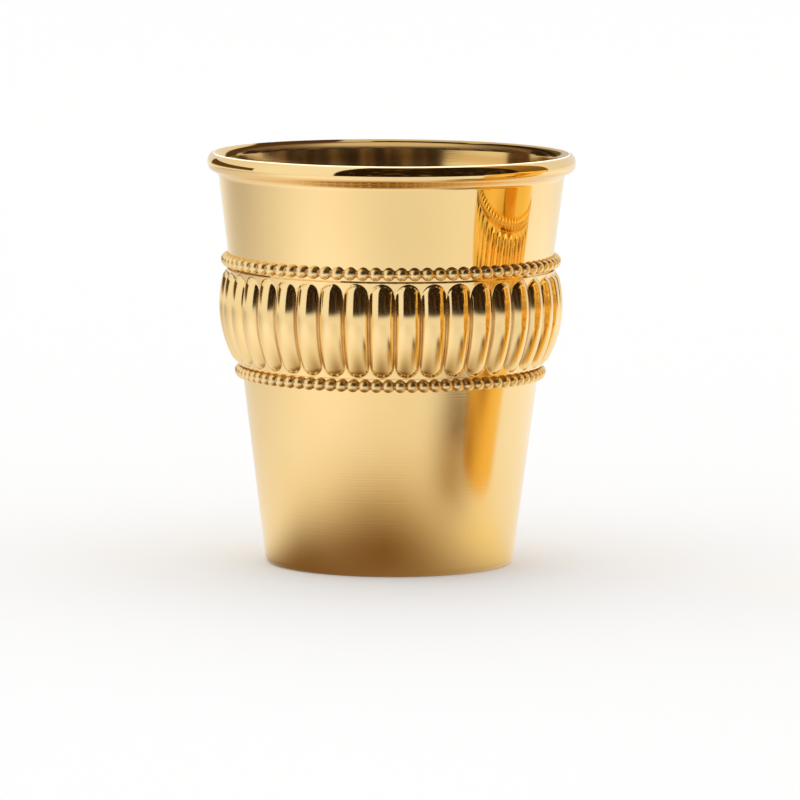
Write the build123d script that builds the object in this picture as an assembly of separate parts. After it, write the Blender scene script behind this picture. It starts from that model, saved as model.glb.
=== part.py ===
"""Bar jigger: a tapered measuring cup with a moulded lip and a lobed belt between two beaded wires.

The cup is one shell, from its dished foot to its lip. A struck belt with hollow-backed lobes and two
beaded wires lie round the outside, against the wall. Each of the four is a separate solid.

Frame: origin at the centre of the resting face, +Z up the axis, -Y to the front. Units: millimetres.
Places on the wall are given in the wall's own directions: "out" is the distance square to its outside
face, positive away from the cup, and "along" is the distance up its slant.
"""

import os
from math import atan, cos, degrees, radians, sin, sqrt

from build123d import *

# Cup
HEIGHT = 53.45
FOOT_RADIUS = 16.1
TAPER = 0.126
WALL = 0.9
FOOT_ROUND = 1.0
FLOOR = 1.3
FLOOR_ROUND = 1.5
DISH_RADIUS = 12.6
DISH_DEPTH = 0.35
DISH_ROUND = 0.3

# Lip
LIP_RADIUS = 23.95
LIP_CREST_ROUND = 0.55
LIP_FACE_ROUND = 1.6
LIP_FACE_TURN = 42.0
LIP_UNDER_ROUND = 1.2
LIP_COVE = 1.0

# Belt
LOBES = 40
PATTERN_TURN = 1.6
BELT_GAUGE = 0.45
BELT_FOOT = 25.95
BELT_TOP = 38.5
LOBE_SECTION = 1.85
LOBE_BOW = 12.8
LOBE_MIDDLE = 32.25
LOBE_AXIS_OUT = 0.25
LOBE_HALF_RUN = 4.45

# Beaded wires
BEADS_PER_LOBE = 2
UPPER_BEAD_HEIGHT = 39.55
UPPER_BEAD_RADIUS = 0.82
LOWER_BEAD_HEIGHT = 25.05
LOWER_BEAD_RADIUS = 0.8
BEAD_AXIS_OUT = 0.22
BEAD_CORE_RADIUS = 0.42

# Depth of the space outside the wall that one lobe or bead is cut from
CELL_DEPTH = 6.0

# Worked out from the dimensions above
SLANT = atan(TAPER)
BEADS = LOBES * BEADS_PER_LOBE


def wall_radius(z, out=0.0):
    """Radius at height z of the cone that lies out from the wall's outside face."""
    return FOOT_RADIUS + z * TAPER + out / cos(SLANT)


def shifted(point, out, along=0.0):
    """A (radius, height) point moved in the wall's own directions."""
    return (
        point[0] + out * cos(SLANT) + along * sin(SLANT),
        point[1] - out * sin(SLANT) + along * cos(SLANT),
    )


def on_wall(z, out):
    """(radius, height) of a point out from the wall's outside face at height z."""
    return shifted((wall_radius(z), z), out)


def ring_from(outline, turn=360.0, start=0.0):
    """Turns a closed outline of (radius, height) curves about the Z axis."""
    face = make_face(Plane.XZ * outline)
    return revolve(Rot(0, 0, start) * face, Axis.Z, turn)


def arc(centre, radius, start, end):
    """An arc about centre between two points on it, the short way round."""
    middle = Vector(*start) + Vector(*end) - Vector(*centre) * 2
    through = Vector(*centre) + middle.normalized() * radius
    return ThreePointArc(start, (through.X, through.Y), end)


def lip_outline():
    """The lip's curves from the wall's outside face, over the edge, to the wall's inside face."""
    # The face curves back from the widest point to a shoulder, where the tighter crest round starts.
    lean_out, lean_up = cos(radians(LIP_FACE_TURN)), sin(radians(LIP_FACE_TURN))
    drop = LIP_CREST_ROUND + (LIP_FACE_ROUND - LIP_CREST_ROUND) * lean_up
    edge = (LIP_RADIUS, HEIGHT - drop)
    face = (edge[0] - LIP_FACE_ROUND, edge[1])
    shoulder = (face[0] + lean_out * LIP_FACE_ROUND, face[1] + lean_up * LIP_FACE_ROUND)
    over = (shoulder[0] - lean_out * LIP_CREST_ROUND, shoulder[1] - lean_up * LIP_CREST_ROUND)
    under = (edge[0] - LIP_UNDER_ROUND, edge[1])
    crest = (over[0], HEIGHT)

    # The cove is tangent to the under round and to the wall.
    across = LIP_COVE - (under[0] - wall_radius(under[1])) * cos(SLANT)
    down = sqrt((LIP_UNDER_ROUND + LIP_COVE) ** 2 - across**2)
    cove = shifted(under, across, -down)
    share = LIP_UNDER_ROUND / (LIP_UNDER_ROUND + LIP_COVE)
    turn = tuple(u + (c - u) * share for u, c in zip(under, cove))
    foot = shifted(cove, -LIP_COVE)

    # The inner round is tangent to the crest and to the wall's inside face.
    inner_round = (crest[0] - wall_radius(HEIGHT, -WALL)) * cos(SLANT) / (1 - sin(SLANT))
    inner = (crest[0], HEIGHT - inner_round)
    mouth = shifted(inner, -inner_round)

    curves = (
        arc(cove, LIP_COVE, foot, turn)
        + arc(under, LIP_UNDER_ROUND, turn, edge)
        + arc(face, LIP_FACE_ROUND, edge, shoulder)
        + arc(over, LIP_CREST_ROUND, shoulder, crest)
        + arc(inner, inner_round, crest, mouth)
    )
    return curves, foot, mouth


def round_circle(solid, radius, near_radius, height):
    """Rounds the circular edge at a height whose radius is nearest to near_radius."""
    circles = solid.edges().filter_by(GeomType.CIRCLE)
    level = circles.filter_by(lambda e: abs(e.arc_center.Z - height) < 0.01)
    return fillet(level.sort_by(lambda e: abs(e.radius - near_radius))[0], radius)


def make_cup_body():
    """The shell: dished foot, conical wall and moulded lip."""
    lip, lip_foot, mouth = lip_outline()
    corner = (wall_radius(FLOOR, -WALL), FLOOR)
    outline = (
        Line((0, DISH_DEPTH), (DISH_RADIUS, DISH_DEPTH))
        + Line((DISH_RADIUS, DISH_DEPTH), (DISH_RADIUS + DISH_DEPTH, 0))
        + Line((DISH_RADIUS + DISH_DEPTH, 0), (wall_radius(0), 0))
        + Line((wall_radius(0), 0), lip_foot)
        + lip
        + Line(mouth, corner)
        + Line(corner, (0, FLOOR))
        + Line((0, FLOOR), (0, DISH_DEPTH))
    )
    cup = ring_from(outline)
    cup = round_circle(cup, FOOT_ROUND, wall_radius(0), 0)
    cup = round_circle(cup, DISH_ROUND, DISH_RADIUS + DISH_DEPTH, 0)
    cup = round_circle(cup, DISH_ROUND, DISH_RADIUS, DISH_DEPTH)
    return round_circle(cup, FLOOR_ROUND, corner[0], FLOOR)


def cone_band(inner, outer, low, high, turn=360.0, start=0.0):
    """A band between two cones parallel to the wall, given as distances out, cut square to Z."""
    corners = [
        (wall_radius(low, inner), low),
        (wall_radius(low, outer), low),
        (wall_radius(high, outer), high),
        (wall_radius(high, inner), high),
    ]
    return ring_from(Polyline(*corners, close=True), turn, start)


def cell_zone(count, low, high):
    """One of count equal slices of the space outside the wall, centred on the XZ plane."""
    slice_turn = 360 / count
    return cone_band(0, CELL_DEPTH, low, high, slice_turn, -slice_turn / 2)


def ring_of(cell, count):
    """Joins count copies of a cell round the axis, turned so that a groove lies just off the front."""
    first = -90 + PATTERN_TURN + 180 / count
    copies = [Rot(0, 0, first + i * 360 / count) * cell for i in range(count)]
    return copies[0].fuse(*copies[1:]).clean()


def bowed_lobe(radius):
    """A round-ended bar of the given radius, bowed outwards along the wall, in the XZ plane."""
    bow_r, bow_z = shifted(on_wall(LOBE_MIDDLE, LOBE_AXIS_OUT), -LOBE_BOW)
    centre = Vector(bow_r, 0, bow_z)
    half_turn = degrees(atan(LOBE_HALF_RUN / sqrt(LOBE_BOW**2 - LOBE_HALF_RUN**2)))
    level = Location(centre) * Rot(0, degrees(SLANT), 0)
    to_upper_end = level * Rot(0, -half_turn, 0) * Pos(LOBE_BOW, 0, 0)
    to_lower_end = level * Rot(0, half_turn, 0) * Pos(LOBE_BOW, 0, 0)
    bar = revolve(to_lower_end * Circle(radius), Axis(centre, (0, -1, 0)), 2 * half_turn)
    half_circle = ThreePointArc((radius, 0), (0, radius), (-radius, 0))
    half_disc = make_face(Line((-radius, 0), (radius, 0)) + half_circle)
    dome = revolve(half_disc, Axis.X, 180)
    return bar.fuse(to_upper_end * dome, to_lower_end * Rot(180, 0, 0) * dome)


def make_gadroon_belt():
    """The struck belt: a flat band with hollow-backed lobes standing out of it."""
    zone = cell_zone(LOBES, BELT_FOOT, BELT_TOP)
    band = cone_band(0, BELT_GAUGE, BELT_FOOT, BELT_TOP) & zone
    cell = band + (bowed_lobe(LOBE_SECTION) & zone)
    return ring_of(cell - bowed_lobe(LOBE_SECTION - BELT_GAUGE), LOBES)


def make_beaded_wire(height, radius):
    """A ring of beads on a thin core, flat at the back where it lies on the wall."""
    zone = cell_zone(BEADS, height - 2 * radius, height + 2 * radius)
    axis_r, axis_z = on_wall(height, BEAD_AXIS_OUT)
    bead = Pos(axis_r, 0, axis_z) * Sphere(radius)
    core = Pos(0, 0, axis_z) * Torus(axis_r, BEAD_CORE_RADIUS)
    return ring_of((bead & zone) + (core & zone), BEADS)


def main():
    parts = {
        "cup_body": make_cup_body(),
        "gadroon_belt": make_gadroon_belt(),
        "upper_beaded_wire": make_beaded_wire(UPPER_BEAD_HEIGHT, UPPER_BEAD_RADIUS),
        "lower_beaded_wire": make_beaded_wire(LOWER_BEAD_HEIGHT, LOWER_BEAD_RADIUS),
    }
    os.makedirs("parts", exist_ok=True)
    for name, shape in parts.items():
        export_step(shape, f"parts/{name}.step")


main()
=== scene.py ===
"""Bar jigger: the finished pieces, their gold-plate finishes, and the studio that they stand in.

Everything is in the CAD frame. Shapes are worked out in millimetres and stored in metres. Each finished
piece stands for one CAD node, with the same form and a smoother surface, and rides the one body, root.

Polished gold looks like whatever it reflects. The studio has soft cards for it to reflect, and a second
cup beside the first. They belong to the stage and show only in reflections.
"""

from math import atan, cos, pi, radians, sin, sqrt

import bpy
import numpy as np
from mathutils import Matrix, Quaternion, Vector


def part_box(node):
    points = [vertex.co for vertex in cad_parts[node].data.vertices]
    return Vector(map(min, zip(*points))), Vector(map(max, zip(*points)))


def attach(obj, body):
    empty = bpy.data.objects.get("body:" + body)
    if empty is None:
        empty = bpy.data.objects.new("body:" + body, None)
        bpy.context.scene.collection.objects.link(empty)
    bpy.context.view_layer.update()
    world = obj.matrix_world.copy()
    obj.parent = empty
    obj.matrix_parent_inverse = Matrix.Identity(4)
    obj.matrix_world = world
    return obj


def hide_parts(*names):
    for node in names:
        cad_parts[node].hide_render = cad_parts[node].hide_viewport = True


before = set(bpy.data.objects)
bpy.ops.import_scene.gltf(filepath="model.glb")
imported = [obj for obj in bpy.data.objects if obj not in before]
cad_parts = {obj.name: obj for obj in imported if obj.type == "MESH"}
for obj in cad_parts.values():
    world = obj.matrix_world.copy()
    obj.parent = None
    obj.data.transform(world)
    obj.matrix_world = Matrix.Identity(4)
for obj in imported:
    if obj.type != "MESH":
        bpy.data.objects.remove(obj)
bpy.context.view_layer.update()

MM = 0.001

# Cup and lip, in millimetres
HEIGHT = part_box("cup_body")[1].z / MM
LIP_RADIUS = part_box("cup_body")[1].x / MM
FOOT_RADIUS = 16.1
TAPER = 0.126
SLANT = atan(TAPER)
WALL = 0.9
FOOT_ROUND = 1.0
FLOOR = 1.3
FLOOR_ROUND = 1.5
DISH_RADIUS = 12.6
DISH_DEPTH = 0.35
DISH_ROUND = 0.3
LIP_CREST_ROUND = 0.55
LIP_FACE_ROUND = 1.6
LIP_FACE_TURN = radians(42)
LIP_UNDER_ROUND = 1.2
LIP_COVE = 1.0

# Belt and beads
LOBES = 40
BEADS = LOBES * 2
PATTERN_TURN = 1.6
BELT_GAUGE = 0.45
BELT_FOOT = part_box("gadroon_belt")[0].z / MM
BELT_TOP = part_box("gadroon_belt")[1].z / MM
BELT_EDGE_ROUND = 0.08
LOBE_SECTION = 1.85
LOBE_BOW = 12.8
LOBE_MIDDLE = 32.25
LOBE_AXIS_OUT = 0.25
LOBE_HALF_RUN = 4.45
LOBE_CREASE = 0.12
BEAD_AXIS_OUT = 0.22
BEAD_CORE = 0.42
BEAD_CREASE = 0.05

# Mesh steps round the axis
CUP_STEPS = 384
LOBE_STEPS = 26
BEAD_STEPS = 22

# Colours of the plate: clean, clouded, the cove's painted warm shade, and the grooves' patina with painted
# shade
GOLD = (1.0, 0.75, 0.365, 1)
CLOUDED_GOLD = (0.985, 0.73, 0.34, 1)
COVE_PAINTED_SHADE = (0.75, 0.4, 0.1, 1)
PATINA_AND_SHADE_GOLD = (0.5, 0.25, 0.08, 1)

# Camera: where it aims, how far off and how high it is, and the width of view at that distance
AIM = Vector((0.00128, 0, 0.02113))
CAMERA_DISTANCE = 0.9
CAMERA_ELEVATION = radians(6.48)
CAMERA_ROLL = radians(0.35)
VIEW_WIDTH = 0.10426

# Where a second cup stands, which only reflections see
NEIGHBOUR = Vector((0.0583, -0.0212, 0))

OUTWARD = np.array([cos(SLANT), -sin(SLANT)])
UPWARD = np.array([sin(SLANT), cos(SLANT)])


# ---- Outlines: arrays of (radius, height) points with their outward normals ----


def wall_radius(z, out=0.0):
    """Radius at height z of the cone that lies out from the wall's outside face."""
    return FOOT_RADIUS + z * TAPER + out / cos(SLANT)


def line(start, end, steps):
    """A straight run, with the metal on its left."""
    start, end = np.array(start, float), np.array(end, float)
    share = np.linspace(0, 1, steps + 1)[:, None]
    along = (end - start) / np.linalg.norm(end - start)
    normal = np.array([along[1], -along[0]])
    return start + (end - start) * share, np.tile(normal, (steps + 1, 1))


def arc(centre, start, end, steps, outside=1):
    """The short arc about centre. outside is -1 where the metal lies on the far side of the arc."""
    centre, start, end = (np.array(p, float) for p in (centre, start, end))
    first, last = (np.arctan2(*(p - centre)[::-1]) for p in (start, end))
    turn = (last - first + pi) % (2 * pi) - pi
    angles = first + turn * np.linspace(0, 1, steps + 1)
    spokes = np.stack([np.cos(angles), np.sin(angles)], axis=1)
    return centre + spokes * np.linalg.norm(start - centre), spokes * outside


def corner(before, at, after, radius):
    """The centre and the two tangent points of a round in a corner."""
    before, at, after = (np.array(p, float) for p in (before, at, after))
    back = (before - at) / np.linalg.norm(before - at)
    on = (after - at) / np.linalg.norm(after - at)
    half = np.arccos(np.clip(back @ on, -1, 1)) / 2
    middle = (back + on) / np.linalg.norm(back + on)
    reach = radius / np.tan(half)
    return at + middle * radius / np.sin(half), at + back * reach, at + on * reach


def joined(*runs):
    """One outline from runs that meet, with each shared point kept once."""
    points = np.concatenate([runs[0][0], *(run[0][1:] for run in runs[1:])])
    normals = np.concatenate([runs[0][1], *(run[1][1:] for run in runs[1:])])
    return points, normals


def cup_outline():
    """From the middle of the underside, out and up the wall, over the lip and down to the floor's middle."""
    lean = np.array([cos(LIP_FACE_TURN), sin(LIP_FACE_TURN)])
    drop = LIP_CREST_ROUND + (LIP_FACE_ROUND - LIP_CREST_ROUND) * lean[1]
    edge = np.array([LIP_RADIUS, HEIGHT - drop])
    face = edge - (LIP_FACE_ROUND, 0)
    shoulder = face + lean * LIP_FACE_ROUND
    over = shoulder - lean * LIP_CREST_ROUND
    under = edge - (LIP_UNDER_ROUND, 0)
    crest = over + (0, LIP_CREST_ROUND)

    # The cove is tangent to the under round and to the wall.
    across = LIP_COVE - (under[0] - wall_radius(under[1])) * cos(SLANT)
    down = sqrt((LIP_UNDER_ROUND + LIP_COVE) ** 2 - across**2)
    cove = under + OUTWARD * across - UPWARD * down
    turn = under + (cove - under) * LIP_UNDER_ROUND / (LIP_UNDER_ROUND + LIP_COVE)
    lip_foot = cove - OUTWARD * LIP_COVE

    # The inner round is tangent to the crest and to the wall's inside face.
    inner_round = (crest[0] - wall_radius(HEIGHT, -WALL)) * cos(SLANT) / (1 - sin(SLANT))
    inner = crest - (0, inner_round)
    mouth = inner - OUTWARD * inner_round

    dish_in, dish_out = (DISH_RADIUS, DISH_DEPTH), (DISH_RADIUS + DISH_DEPTH, 0)
    foot, floor_corner = (wall_radius(0), 0), (wall_radius(FLOOR, -WALL), FLOOR)
    a, a_start, a_end = corner((0, DISH_DEPTH), dish_in, dish_out, DISH_ROUND)
    b, b_start, b_end = corner(dish_in, dish_out, foot, DISH_ROUND)
    c, c_start, c_end = corner(dish_out, foot, lip_foot, FOOT_ROUND)
    d, d_start, d_end = corner(mouth, floor_corner, (0, FLOOR), FLOOR_ROUND)
    return joined(
        line((0, DISH_DEPTH), a_start, 10),
        arc(a, a_start, a_end, 4, -1),
        line(a_end, b_start, 1),
        arc(b, b_start, b_end, 4),
        line(b_end, c_start, 3),
        arc(c, c_start, c_end, 12),
        line(c_end, lip_foot, 40),
        arc(cove, lip_foot, turn, 14, -1),
        arc(under, turn, edge, 18),
        arc(face, edge, shoulder, 12),
        arc(over, shoulder, crest, 10),
        arc(inner, crest, mouth, 16),
        line(mouth, d_start, 36),
        arc(d, d_start, d_end, 12, -1),
        line(d_end, (0, FLOOR), 12),
    )


# ---- Meshes ----


def ring_mesh(name, grid, normals, poles=False):
    """A mesh from a grid of points, [around, along the outline, xyz], closed both ways or ended in poles."""
    around, along = grid.shape[:2]
    index = np.arange(around * along).reshape(around, along)
    if poles:
        index[:, 0], index[:, -1] = index[0, 0], index[0, -1]
    beside = np.roll(index, -1, axis=0)
    last = along - 1 if poles else along
    faces = []
    for i in range(last):
        k = (i + 1) % along
        quads = np.stack([index[:, i], beside[:, i], beside[:, k], index[:, k]], axis=1)
        # At a pole two corners of each face are one point, and the face is a triangle.
        if poles and i == 0:
            quads = quads[:, [0, 2, 3]]
        if poles and i == last - 1:
            quads = quads[:, [0, 1, 2]]
        faces.extend(quads.tolist())
    used, compact = np.unique(np.concatenate([np.array(f) for f in faces]), return_inverse=True)
    counts = np.cumsum([0] + [len(f) for f in faces])
    faces = [compact[a:b].tolist() for a, b in zip(counts[:-1], counts[1:])]
    mesh = bpy.data.meshes.new(name)
    mesh.from_pydata((grid.reshape(-1, 3)[used] * MM).tolist(), [], faces)
    mesh.shade_smooth()
    mesh.normals_split_custom_set_from_vertices(normals.reshape(-1, 3)[used].tolist())
    piece = bpy.data.objects.new(name, mesh)
    bpy.context.collection.objects.link(piece)
    return piece


def grid_normals(grid):
    """Outward normals of a grid that closes both ways."""
    across = np.roll(grid, -1, axis=0) - np.roll(grid, 1, axis=0)
    along = np.roll(grid, -1, axis=1) - np.roll(grid, 1, axis=1)
    normals = np.cross(across, along)
    return normals / np.maximum(np.linalg.norm(normals, axis=2, keepdims=True), 1e-12)


def turned(outline, angles):
    """Spins (radius, height) values about Z. outline is [along, 2] or [around, along, 2]."""
    outline = np.broadcast_to(outline, (len(angles), *outline.shape[-2:]))
    radius, height = outline[..., 0], outline[..., 1]
    swing = angles[:, None]
    return np.stack([radius * np.cos(swing), radius * np.sin(swing), height], axis=2)


def smooth_max(a, b, blend):
    """The larger of a and b, with a small fillet where they meet."""
    return np.maximum(a, b) + np.maximum(blend - np.abs(a - b), 0) ** 2 / (4 * blend)


def cell_angles(count, steps):
    """Angles round the axis in count cells, each one's offset from its cell's middle, and a cell's width."""
    pitch = 2 * pi / count
    offset = (np.arange(steps) / steps - 0.5) * pitch
    middle = radians(-90 + PATTERN_TURN) + pitch / 2 + np.arange(count) * pitch
    return (middle[:, None] + offset).ravel(), np.tile(offset, count), pitch


def lobe_height(aside, along):
    """How far a lobe stands out from the wall, at a distance aside of its middle and along the wall."""
    bow_out = LOBE_AXIS_OUT - LOBE_BOW
    end_out = bow_out + sqrt(LOBE_BOW**2 - LOBE_HALF_RUN**2)
    section = np.sqrt(np.maximum(LOBE_SECTION**2 - aside**2, 0))
    reach = LOBE_BOW + section
    past_end = np.abs(along) - LOBE_HALF_RUN
    in_dome = np.abs(along) > reach * LOBE_HALF_RUN / LOBE_BOW
    bowed = bow_out + np.sqrt(np.maximum(reach**2 - along**2, 0))
    domed = end_out + np.sqrt(np.maximum(section**2 - past_end**2, 0))
    off = (np.abs(aside) >= LOBE_SECTION) | (in_dome & (past_end >= section))
    return np.where(off, -1.0, np.where(in_dome, domed, bowed))


def belt_profile():
    """Distances along the belt from its foot, and how far the plain band stands out at each."""
    length = (BELT_TOP - BELT_FOOT) / cos(SLANT) - BELT_GAUGE * TAPER
    swing = np.linspace(0, pi / 2, 7)
    in_from_edge = BELT_EDGE_ROUND * (1 - np.cos(swing))
    out = BELT_GAUGE - BELT_EDGE_ROUND * (1 - np.sin(swing))
    middle = np.linspace(BELT_EDGE_ROUND, length - BELT_EDGE_ROUND, 92)[1:-1]
    rows = np.concatenate([[0, 0], in_from_edge, middle, length - in_from_edge[::-1], [length, length]])
    outs = np.concatenate([[0, 0.03], out, np.full(len(middle), BELT_GAUGE), out[::-1], [0.03, 0]])
    return rows, outs


def make_belt():
    """The belt: a thin band with rounded edges, and the lobes blended into it and into each other."""
    angles, offset, pitch = cell_angles(LOBES, LOBE_STEPS)
    rows, flat = belt_profile()
    along = (BELT_FOOT - LOBE_MIDDLE) / cos(SLANT) + BELT_GAUGE * TAPER + rows
    wall = wall_radius(LOBE_MIDDLE) + along * sin(SLANT)
    out = np.tile(flat, (len(angles), 1))
    # How far a point lies aside of a lobe depends on how far out it is, so the height is found in rounds.
    for _ in range(3):
        radius = wall + out * cos(SLANT)
        own = lobe_height(radius * np.sin(offset)[:, None], along)
        beyond = lobe_height(radius * np.sin(pitch - np.abs(offset))[:, None], along)
        out = smooth_max(flat, smooth_max(own, beyond, LOBE_CREASE), LOBE_CREASE)
    start = np.array([wall_radius(LOBE_MIDDLE), LOBE_MIDDLE])
    outside = start + along[:, None] * UPWARD + out[..., None] * OUTWARD
    back = start + np.linspace(along[-1], along[0], 10)[1:-1, None] * UPWARD
    back = np.broadcast_to(back, (len(angles), *back.shape))
    grid = turned(np.concatenate([outside, back], axis=1), angles)
    return ring_mesh("belt_plated", grid, grid_normals(grid))


def make_beads(name, node):
    """A beaded wire: beads on a thin core, flat where they lie on the wall."""
    low, high = (corner_point.z / MM for corner_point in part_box(node))
    bead_radius, height = (high - low) / 2, (high + low) / 2 + BEAD_AXIS_OUT * sin(SLANT)
    angles, offset, _ = cell_angles(BEADS, BEAD_STEPS)
    ring_radius = wall_radius(height) + BEAD_AXIS_OUT * cos(SLANT)
    aside = ring_radius * np.sin(offset)
    bead = np.sqrt(np.maximum(bead_radius**2 - aside**2, 0))
    section = smooth_max(bead, BEAD_CORE, BEAD_CREASE)[:, None]
    swing = np.linspace(-pi / 2, 3 * pi / 2, 29)[:-1]
    out = np.maximum(BEAD_AXIS_OUT + section * np.cos(swing), 0)
    up = section * np.sin(swing)
    start = np.array([wall_radius(height), height])
    outline = start + out[..., None] * OUTWARD + up[..., None] * UPWARD
    grid = turned(outline, angles)
    return ring_mesh(name, grid, grid_normals(grid))


def make_cup():
    """The cup, turned from its outline."""
    outline, normals = cup_outline()
    angles = np.arange(CUP_STEPS) * 2 * pi / CUP_STEPS
    return ring_mesh("cup_plated", turned(outline, angles), turned(normals, angles), poles=True)


# ---- Materials ----


def put(tree, socket, value):
    """Links a socket, or sets a plain value."""
    if isinstance(value, bpy.types.NodeSocket):
        tree.links.new(value, socket)
    else:
        socket.default_value = value


def add(tree, kind, inputs=None, **settings):
    node = tree.nodes.new(kind)
    for name, value in settings.items():
        setattr(node, name, value)
    for name, value in (inputs or {}).items():
        put(tree, node.inputs[name], value)
    return node


def calc(tree, operation, a, b=0.0):
    return add(tree, "ShaderNodeMath", {0: a, 1: b}, operation=operation).outputs[0]


def ramp(tree, value, low, high, at_low=0.0, at_high=1.0):
    """Eases from at_low to at_high as value goes from low to high."""
    inputs = {"Value": value, "From Min": low, "From Max": high, "To Min": at_low, "To Max": at_high}
    return add(tree, "ShaderNodeMapRange", inputs, interpolation_type="SMOOTHSTEP").outputs[0]


def blend_colours(tree, share, a, b):
    node = add(tree, "ShaderNodeMix", data_type="RGBA")
    put(tree, node.inputs[0], share)
    put(tree, node.inputs[6], a)
    put(tree, node.inputs[7], b)
    return node.outputs[2]


def places(tree):
    """The point on the object, its height, its angle round the axis, and its distance out from the wall."""
    point = add(tree, "ShaderNodeTexCoord").outputs["Object"]
    x, y, z = add(tree, "ShaderNodeSeparateXYZ", {0: point}).outputs
    squares = calc(tree, "ADD", calc(tree, "MULTIPLY", x, x), calc(tree, "MULTIPLY", y, y))
    radius = calc(tree, "SQRT", squares)
    wall = calc(tree, "ADD", calc(tree, "MULTIPLY", z, TAPER), FOOT_RADIUS * MM)
    return point, z, calc(tree, "ARCTAN2", y, x), calc(tree, "SUBTRACT", radius, wall)


def noise(tree, point, scale, detail=3.0):
    return add(tree, "ShaderNodeTexNoise", {"Vector": point, "Scale": scale, "Detail": detail}).outputs[0]


def turning_lines(tree, z, scale):
    """Fine lines round the axis: noise that changes with height alone."""
    height = add(tree, "ShaderNodeCombineXYZ", {2: z}).outputs[0]
    return noise(tree, height, scale, 2.0)


def groove_share(tree, angle, count, width):
    """1 in the middle of each of count grooves round the axis, easing to 0 at width, a share of the pitch."""
    swing = calc(tree, "MULTIPLY", calc(tree, "ADD", angle, radians(90 - PATTERN_TURN)), float(count))
    return ramp(tree, calc(tree, "COSINE", swing), cos(2 * pi * width), 1.0)


def gold_plate(name, grooves=0, groove_width=0.0, groove_out=0.0, extra_dull=0.0):
    """Gold plate. With no grooves it is the cup's: mirror above the belt and fine satin below it.

    With grooves it is darker and duller in them, where they stand groove_out or more from the wall: patina,
    with painted shade deepening the hollows.
    """
    material = bpy.data.materials.new(name)
    material.use_nodes = True
    tree = material.node_tree
    shader = tree.nodes["Principled BSDF"]
    shader.inputs["Metallic"].default_value = 1.0
    point, z, angle, out = places(tree)

    cloud = noise(tree, point, 70.0)
    colour = blend_colours(tree, ramp(tree, cloud, 0.35, 0.65), GOLD, CLOUDED_GOLD)
    smear = noise(tree, point, 260.0, 5.0)
    roughness = ramp(tree, smear, 0.3, 0.75, 0.035 + extra_dull, 0.08 + extra_dull)
    lines = turning_lines(tree, z, 5200.0)
    line_depth = 0.004
    if grooves:
        recess = groove_share(tree, angle, grooves, groove_width)
        recess = calc(tree, "MULTIPLY", recess, ramp(tree, out, groove_out * MM, (groove_out + 0.15) * MM))
        # Patina and painted shade in the grooves: a brown tint that darkens the hollows.
        patina_and_shade = calc(tree, "MULTIPLY", recess, ramp(tree, smear, 0.25, 0.7, 0.45, 0.85))
        colour = blend_colours(tree, patina_and_shade, colour, PATINA_AND_SHADE_GOLD)
        roughness = calc(tree, "ADD", roughness, calc(tree, "MULTIPLY", recess, 0.12))
    else:
        below = ramp(tree, z, BELT_FOOT * MM, (BELT_FOOT + 4) * MM, 1.0, 0.0)
        within = ramp(tree, out, -0.8 * MM, -0.5 * MM, 1.0, 0.0)
        # Painted shade: the cove under the lip is tinted warm brown, standing in for the warm shade that it
        # reflects.
        cove = calc(tree, "MULTIPLY", ramp(tree, z, 0.0504, 0.0511), ramp(tree, z, 0.0514, 0.0521, 0.45, 0.0))
        colour = blend_colours(tree, cove, colour, COVE_PAINTED_SHADE)
        dull = calc(tree, "MAXIMUM", below, calc(tree, "MULTIPLY", within, 0.6))
        roughness = calc(tree, "ADD", roughness, calc(tree, "MULTIPLY", dull, 0.1))
        line_depth = calc(tree, "ADD", 0.004, calc(tree, "MULTIPLY", dull, 0.06))
    put(tree, shader.inputs["Base Color"], colour)
    put(tree, shader.inputs["Roughness"], roughness)
    bump = add(tree, "ShaderNodeBump", {"Strength": line_depth, "Distance": 0.0001, "Height": lines})
    put(tree, shader.inputs["Normal"], bump.outputs[0])
    return material


# ---- Studio ----


def plain_material(name, colour, roughness=0.8, metallic=0.0):
    material = bpy.data.materials.new(name)
    material.use_nodes = True
    shader = material.node_tree.nodes["Principled BSDF"]
    shader.inputs["Base Color"].default_value = colour
    shader.inputs["Roughness"].default_value = roughness
    shader.inputs["Metallic"].default_value = metallic
    return material


def stage_mesh(name, points, faces, material):
    mesh = bpy.data.meshes.new(name)
    mesh.from_pydata(points, [], faces)
    mesh.materials.append(material)
    item = bpy.data.objects.new(name, mesh)
    bpy.context.collection.objects.link(item)
    return item


def reflected_only(item):
    """The item shows only in reflections, as a card outside the picture does."""
    item.visible_camera = False
    item.visible_diffuse = False
    item.visible_shadow = False
    item.visible_transmission = False
    item.visible_volume_scatter = False


def card_material(name, paint):
    """A card that glows with what paint(tree, x, y, z) gives, whatever light falls on it."""
    material = bpy.data.materials.new(name)
    material.use_nodes = True
    tree = material.node_tree
    tree.nodes.remove(tree.nodes["Principled BSDF"])
    point = add(tree, "ShaderNodeTexCoord").outputs["Object"]
    x, y, z = add(tree, "ShaderNodeSeparateXYZ", {0: point}).outputs
    glow = add(tree, "ShaderNodeEmission", {"Color": paint(tree, x, y, z)})
    put(tree, tree.nodes["Material Output"].inputs[0], glow.outputs[0])
    return material


def patch(tree, x, y, centre, spread):
    """A soft-edged patch on the floor: 1 at its centre, falling off over spread."""
    parts = []
    for value, middle, width in zip((x, y), centre, spread):
        share = calc(tree, "DIVIDE", calc(tree, "SUBTRACT", value, middle), width)
        parts.append(calc(tree, "MULTIPLY", share, share))
    return calc(tree, "EXPONENT", calc(tree, "MULTIPLY", calc(tree, "ADD", *parts), -1.0))


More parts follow.
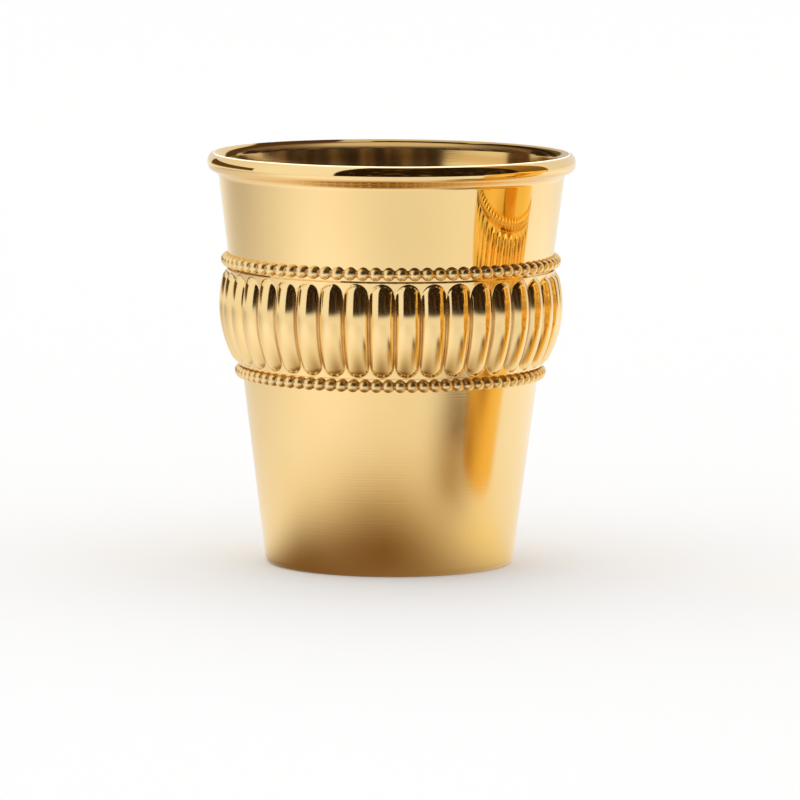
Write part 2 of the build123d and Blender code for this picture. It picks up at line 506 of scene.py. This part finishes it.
def paint_floor(tree, x, y, z):
    """What the wall sees of the table: pale, duller behind on the left, with warm shade close in front."""
    colour = (0.93, 0.90, 0.87, 1)
    for centre, spread, shade in (
        ((0.02, -0.15), (0.085, 0.06), (0.83, 0.81, 0.76, 1)),
        ((-0.095, -0.07), (0.07, 0.07), (1.13, 1.08, 1.09, 1)),
        ((-0.27, 0.14), (0.18, 0.18), (0.56, 0.54, 0.55, 1)),
        ((0.15, 0.12), (0.12, 0.12), (1.03, 1.03, 1.06, 1)),
        ((0.0, -0.03), (0.035, 0.03), (0.85, 0.72, 0.5, 1)),
        ((0.027, -0.011), (0.016, 0.012), (1.0, 0.88, 0.6, 1)),
        ((0.06, -0.05), (0.02, 0.02), (0.16, 0.09, 0.03, 1)),
        ((0.038, -0.038), (0.013, 0.014), (0.46, 0.32, 0.18, 1)),
        ((-0.003, -0.024), (0.024, 0.0235), (0.2, 0.105, 0.035, 1)),
        ((-0.012, -0.012), (0.018, 0.012), (0.2, 0.115, 0.05, 1)),
    ):
        colour = blend_colours(tree, patch(tree, x, y, centre, spread), colour, shade)
    return colour


def paint_dome(tree, x, y, z):
    """Soft white light above the table, a little duller behind."""
    return blend_colours(tree, ramp(tree, y, -0.5, 2.0), (0.94, 0.93, 0.92, 1), (0.8, 0.78, 0.76, 1))


def faint_shapes(tree, x, y, z, scale, low, high):
    """Soft upright shapes, like a dim room seen far off."""
    spot = add(tree, "ShaderNodeCombineXYZ", {0: x, 1: y, 2: calc(tree, "MULTIPLY", z, 0.3)}).outputs[0]
    return ramp(tree, noise(tree, spot, scale), low, high)


def paint_flag(tree, x, y, z):
    """A dark room in front: table-pale at its foot, nearly black with faint warm shapes, brown overhead."""
    shapes = calc(tree, "MULTIPLY", faint_shapes(tree, x, y, z, 14.0, 0.5, 0.66), 0.35)
    low = blend_colours(tree, shapes, (0.018, 0.009, 0.003, 1), (0.25, 0.14, 0.07, 1))
    low = blend_colours(tree, ramp(tree, z, 0.0, 0.028), (0.93, 0.90, 0.87, 1), low)
    return blend_colours(tree, ramp(tree, z, 0.5, 0.75), low, (0.36, 0.25, 0.12, 1))


def paint_brown(tree, x, y, z):
    """A warm brown side of the room."""
    return blend_colours(tree, ramp(tree, z, 0.1, 0.5), (0.2, 0.1, 0.02, 1), (0.5, 0.28, 0.08, 1))


def paint_shade(tree, x, y, z):
    """A dark brown side of the room, paler at its foot."""
    return blend_colours(tree, ramp(tree, z, 0.035, 0.06), (0.6, 0.5, 0.4, 1), (0.11, 0.06, 0.015, 1))


def paint_mouth(tree, x, y, z):
    """What the inside of the cup sees through its mouth: a dark room, tan overhead, with paler windows."""
    behind = ramp(tree, y, 0.019, 0.0225)
    shapes = calc(tree, "MULTIPLY", faint_shapes(tree, x, y, z, 190.0, 0.5, 0.62), 0.4)
    room = blend_colours(tree, behind, (0.022, 0.012, 0.005, 1), (0.13, 0.08, 0.045, 1))
    colour = blend_colours(tree, shapes, room, (0.3, 0.18, 0.09, 1))
    colour = blend_colours(tree, ramp(tree, z, 0.062, 0.115), colour, (0.62, 0.52, 0.4, 1))

    # Tan close above the rim, and up to 3 mm higher behind
    above_rim = calc(tree, "SUBTRACT", z, calc(tree, "MULTIPLY", behind, 0.003))
    sill = ramp(tree, above_rim, 0.0541, 0.0546, 1.0, 0.0)
    colour = blend_colours(tree, sill, colour, (0.6, 0.53, 0.44, 1))

    # Each window's place, spread, lower and upper edges, and colour
    for centre, spread, low, high, shade in (
        ((-0.023, 0.0012), 0.0165, 0.053, 0.0585, (0.8, 0.72, 0.58, 1)),
        ((0.0036, 0.0229), 0.0065, 0.0545, 0.062, (0.02, 0.012, 0.005, 1)),
        ((-0.0128, 0.0192), 0.0075, 0.053, 0.07, (0.08, 0.04, 0.015, 1)),
    ):
        from_low = ramp(tree, z, low, low + 0.0003)
        to_high = ramp(tree, z, high, high + 0.0008, 1.0, 0.0)
        height = calc(tree, "MULTIPLY", from_low, to_high)
        share = calc(tree, "MULTIPLY", patch(tree, x, y, centre, (spread, spread)), height)
        colour = blend_colours(tree, ramp(tree, share, 0.35, 0.5), colour, shade)
    return colour


def paint_white(tree, x, y, z):
    """A bright white card, brighter towards its top."""
    return blend_colours(tree, ramp(tree, z, 0.054, 0.08), (1.5, 1.6, 1.8, 1), (1.7, 1.8, 2.0, 1))


def band(name, radius_low, radius_high, low, high, first, last, material):
    """A curved card: part of a cone about the cup's axis, between two angles from the front."""
    steps = 48
    points, faces = [], []
    for angle in np.radians(np.linspace(first, last, steps + 1)):
        for radius, z in ((radius_low, low), (radius_high, high)):
            points.append((radius * sin(angle), -radius * cos(angle), z))
    for i in range(0, 2 * steps, 2):
        faces.append((i, i + 2, i + 3, i + 1))
    return stage_mesh(name, points, faces, material)


def make_studio():
    """The floor and light that the camera sees by, and the cards that the gold reflects."""
    world = bpy.data.worlds.new("studio")
    world.use_nodes = True
    world.node_tree.nodes["Background"].inputs[0].default_value = (1, 1, 1, 1)
    world.node_tree.nodes["Background"].inputs[1].default_value = 1.05
    bpy.context.scene.world = world

    side = 6.0
    square = [(-side, -side, 0), (side, -side, 0), (side, side, 0), (-side, side, 0)]
    floor = stage_mesh("floor", square, [(0, 1, 2, 3)], plain_material("floor_paper", (0.93, 0.93, 0.93, 1)))
    # In reflections the painted table card stands in for the floor.
    floor.visible_glossy = False
    table = [(x, y, -0.0001) for x, y, _ in square]
    reflected_only(stage_mesh("table_card", table, [(0, 1, 2, 3)], card_material("table_seen", paint_floor)))

    bpy.ops.mesh.primitive_uv_sphere_add(segments=64, ring_count=32, radius=2.5)
    dome = bpy.context.object
    dome.name = "dome_card"
    dome.data.materials.append(card_material("dome_seen", paint_dome))
    reflected_only(dome)

    # Each card's paint, its radius and height at its foot and top, and the angles that it spans. The flags
    # stand round the cup, and the mouth and crest cards stand on its rim.
    for name, paint, radii, heights, span in (
        ("front_flag", paint_flag, (0.45, 0.02), (0.0, 0.8), (-35, 84)),
        ("right_flag", paint_brown, (0.45, 0.1), (0.0, 0.7), (84, 112)),
        ("left_flag", paint_shade, (0.45, 0.45), (0.035, 0.16), (-150, -94)),
        ("mouth_card", paint_mouth, (0.02307, 0.02307), (0.0532, 0.13), (-180, 180)),
        ("mouth_roof", paint_mouth, (0.02307, 0.0001), (0.13, 0.13), (-180, 180)),
        ("crest_card", paint_white, (0.02312, 0.02312), (0.0532, 0.131), (-180, 180)),
    ):
        reflected_only(band(name, *radii, *heights, *span, card_material(name + "_seen", paint)))


def make_neighbour(pieces):
    """A second cup beside the first, of deeper gold, which shows only in reflections."""
    gold = plain_material("beside_gold", (1.0, 0.67, 0.17, 1), 0.06, 1.0)
    for piece in pieces:
        twin = bpy.data.objects.new("beside_" + piece.name, piece.data.copy())
        twin.data.materials[0] = gold
        twin.location = NEIGHBOUR
        bpy.context.collection.objects.link(twin)
        reflected_only(twin)


def make_camera():
    data = bpy.data.cameras.new("camera")
    data.sensor_width = 36.0
    data.lens = data.sensor_width * CAMERA_DISTANCE / VIEW_WIDTH
    data.clip_start, data.clip_end = 0.01, 20.0
    camera = bpy.data.objects.new("camera", data)
    bpy.context.collection.objects.link(camera)
    back = Vector((0, -cos(CAMERA_ELEVATION), sin(CAMERA_ELEVATION)))
    camera.location = AIM + back * CAMERA_DISTANCE
    camera.rotation_mode = "QUATERNION"
    camera.rotation_quaternion = Quaternion(-back, -CAMERA_ROLL) @ (-back).to_track_quat("-Z", "Y")
    bpy.context.scene.camera = camera
    bpy.context.scene.view_settings.view_transform = "Standard"


def finish_piece(piece, node, material):
    """Puts a finished piece in a CAD node's place."""
    piece.data.materials.append(material)
    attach(piece, "root")
    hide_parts(node)
    return piece


def main():
    make_camera()
    make_studio()
    cup_gold = gold_plate("cup_gold")
    belt_gold = gold_plate("belt_gold", LOBES, groove_width=0.09, groove_out=0.5, extra_dull=0.07)
    bead_gold = gold_plate("bead_gold", BEADS, groove_width=0.14, extra_dull=0.26)
    pieces = [
        finish_piece(make_cup(), "cup_body", cup_gold),
        finish_piece(make_belt(), "gadroon_belt", belt_gold),
    ]
    for name, node in (
        ("upper_beads_plated", "upper_beaded_wire"),
        ("lower_beads_plated", "lower_beaded_wire"),
    ):
        pieces.append(finish_piece(make_beads(name, node), node, bead_gold))
    make_neighbour(pieces)


main()
